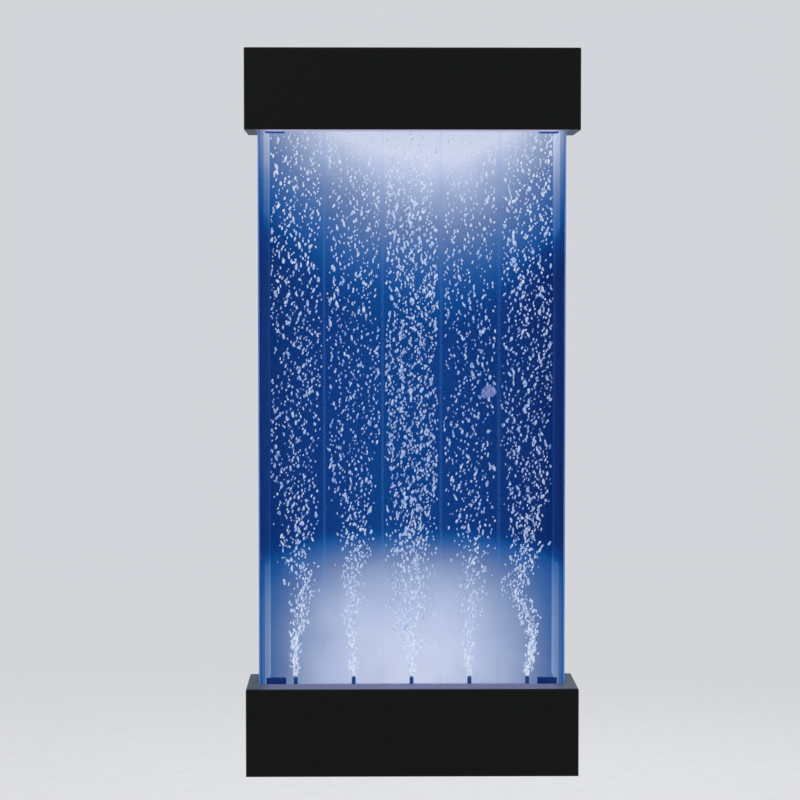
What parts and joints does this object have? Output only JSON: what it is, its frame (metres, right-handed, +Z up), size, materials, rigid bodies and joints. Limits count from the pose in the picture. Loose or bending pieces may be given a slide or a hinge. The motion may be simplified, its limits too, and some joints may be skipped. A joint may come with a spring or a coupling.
{
  "type": "bubble wall panel",
  "caption": "Wall-hung water panel: a clear tank parted into channels, lit from a hood and a base, with an air pump that sends bubbles up from nozzles in its floor.",
  "frame": {"origin": "middle of the wall rail's rear face, on the wall", "axes": "+Z up, +Y into the wall, +X to the right of a viewer who faces the panel; the front is -Y"},
  "size_m": [0.5658, 0.16, 1.22],
  "materials": {
    "powder_black": "satin powder coat on folded steel",
    "zinc": "zinc plated steel",
    "rubber_black": "matt moulded rubber",
    "acrylic_clear": "clear acrylic with polished edges",
    "acrylic_navy": "dark blue acrylic",
    "acrylic_blue": "blue acrylic sheet",
    "nylon_navy": "dark moulded nylon",
    "aluminium": "mill finish extrusion",
    "opal": "opal diffuser",
    "nylon_grey": "moulded nylon",
    "nylon_red": "moulded nylon",
    "nylon_black": "moulded nylon",
    "silicone": "translucent silicone tube",
    "abs_grey": "textured moulding",
    "abs_white": "textured moulding",
    "spring_steel": "bare spring steel",
    "copper": "enamelled copper winding"
  },
  "bodies": {
    "rail": {"wall_rail": "zinc"},
    "panel": {"hang_rail": "zinc", "upright_left": "powder_black", "upright_right": "powder_black", "spacer_bar": "rubber_black", "tank_shelf": "powder_black", "tank_gasket": "rubber_black", "back_panel": "acrylic_blue", "tank_front_pane": "acrylic_clear", "tank_rear_pane": "acrylic_clear", "tank_side_left": "acrylic_clear", "tank_side_right": "acrylic_clear", "tank_floor": "acrylic_clear", "divider_1": "acrylic_clear", "divider_2": "acrylic_clear", "divider_3": "acrylic_clear", "divider_4": "acrylic_clear", "lower_block_left": "acrylic_navy", "lower_block_right": "acrylic_navy", "upper_block_left": "acrylic_navy", "upper_block_right": "acrylic_navy", "air_nozzle_1": "nylon_navy", "air_nozzle_2": "nylon_navy", "air_nozzle_3": "nylon_navy", "air_nozzle_4": "nylon_navy", "air_nozzle_5": "nylon_navy", "base_shell": "powder_black", "base_pan": "zinc", "light_bridge": "powder_black", "hood_light_channel": "aluminium", "hood_light_lens": "opal", "base_light_channel": "aluminium", "base_light_lens": "opal", "air_manifold": "nylon_grey", "airline_1": "silicone", "airline_2": "silicone", "airline_3": "silicone", "airline_4": "silicone", "airline_5": "silicone", "pump_case": "abs_grey", "pump_cover": "abs_grey", "pump_coil": "copper", "pump_diaphragm": "rubber_black", "pump_hose": "silicone", "light_driver": "abs_white", "light_lead": "nylon_black", "power_inlet": "nylon_black", "switch_body": "nylon_black", "drain_valve": "nylon_grey"},
    "hood": {"hood_shell": "powder_black", "hood_underside": "powder_black"},
    "air_valve_1": {"air_valve_lever_1": "nylon_red"},
    "air_valve_2": {"air_valve_lever_2": "nylon_red"},
    "air_valve_3": {"air_valve_lever_3": "nylon_red"},
    "air_valve_4": {"air_valve_lever_4": "nylon_red"},
    "air_valve_5": {"air_valve_lever_5": "nylon_red"},
    "drain_handle": {"drain_lever": "nylon_red"},
    "rocker": {"switch_rocker": "nylon_black"},
    "pump_arm": {"pump_arm": "spring_steel"}
  },
  "joints": [
    {"name": "panel_unhook", "type": "slide", "parent": "rail", "child": "panel", "axis": [0, 0, 1], "range_m": [0, 0.022]},
    {"name": "hood_lift", "type": "slide", "parent": "panel", "child": "hood", "axis": [0, 0, 1], "range_m": [0, 0.15]},
    {"name": "air_valve_turn_1", "type": "hinge", "parent": "panel", "child": "air_valve_1", "pos_m": [-0.072, -0.075, -1.1123], "axis": [0, 0, 1], "range_deg": [0, 90]},
    {"name": "air_valve_turn_2", "type": "hinge", "parent": "panel", "child": "air_valve_2", "pos_m": [-0.036, -0.075, -1.1123], "axis": [0, 0, 1], "range_deg": [0, 90]},
    {"name": "air_valve_turn_3", "type": "hinge", "parent": "panel", "child": "air_valve_3", "pos_m": [0, -0.075, -1.1123], "axis": [0, 0, 1], "range_deg": [0, 90]},
    {"name": "air_valve_turn_4", "type": "hinge", "parent": "panel", "child": "air_valve_4", "pos_m": [0.036, -0.075, -1.1123], "axis": [0, 0, 1], "range_deg": [0, 90]},
    {"name": "air_valve_turn_5", "type": "hinge", "parent": "panel", "child": "air_valve_5", "pos_m": [0.072, -0.075, -1.1123], "axis": [0, 0, 1], "range_deg": [0, 90]},
    {"name": "drain_turn", "type": "hinge", "parent": "panel", "child": "drain_handle", "pos_m": [-0.2109, -0.09255, -1.1103], "axis": [0, 1, 0], "range_deg": [0, 90]},
    {"name": "switch_rock", "type": "hinge", "parent": "panel", "child": "rocker", "pos_m": [0.28, -0.062, -1.068], "axis": [0, 1, 0], "range_deg": [-16, 0]},
    {"name": "pump_arm_swing", "type": "hinge", "parent": "panel", "child": "pump_arm", "pos_m": [-0.2305, -0.1367, -1.0722], "axis": [0, 0, 1], "range_deg": [-1.5, 1.5], "stiffness_Nm_per_rad": 0.05}
  ]
}
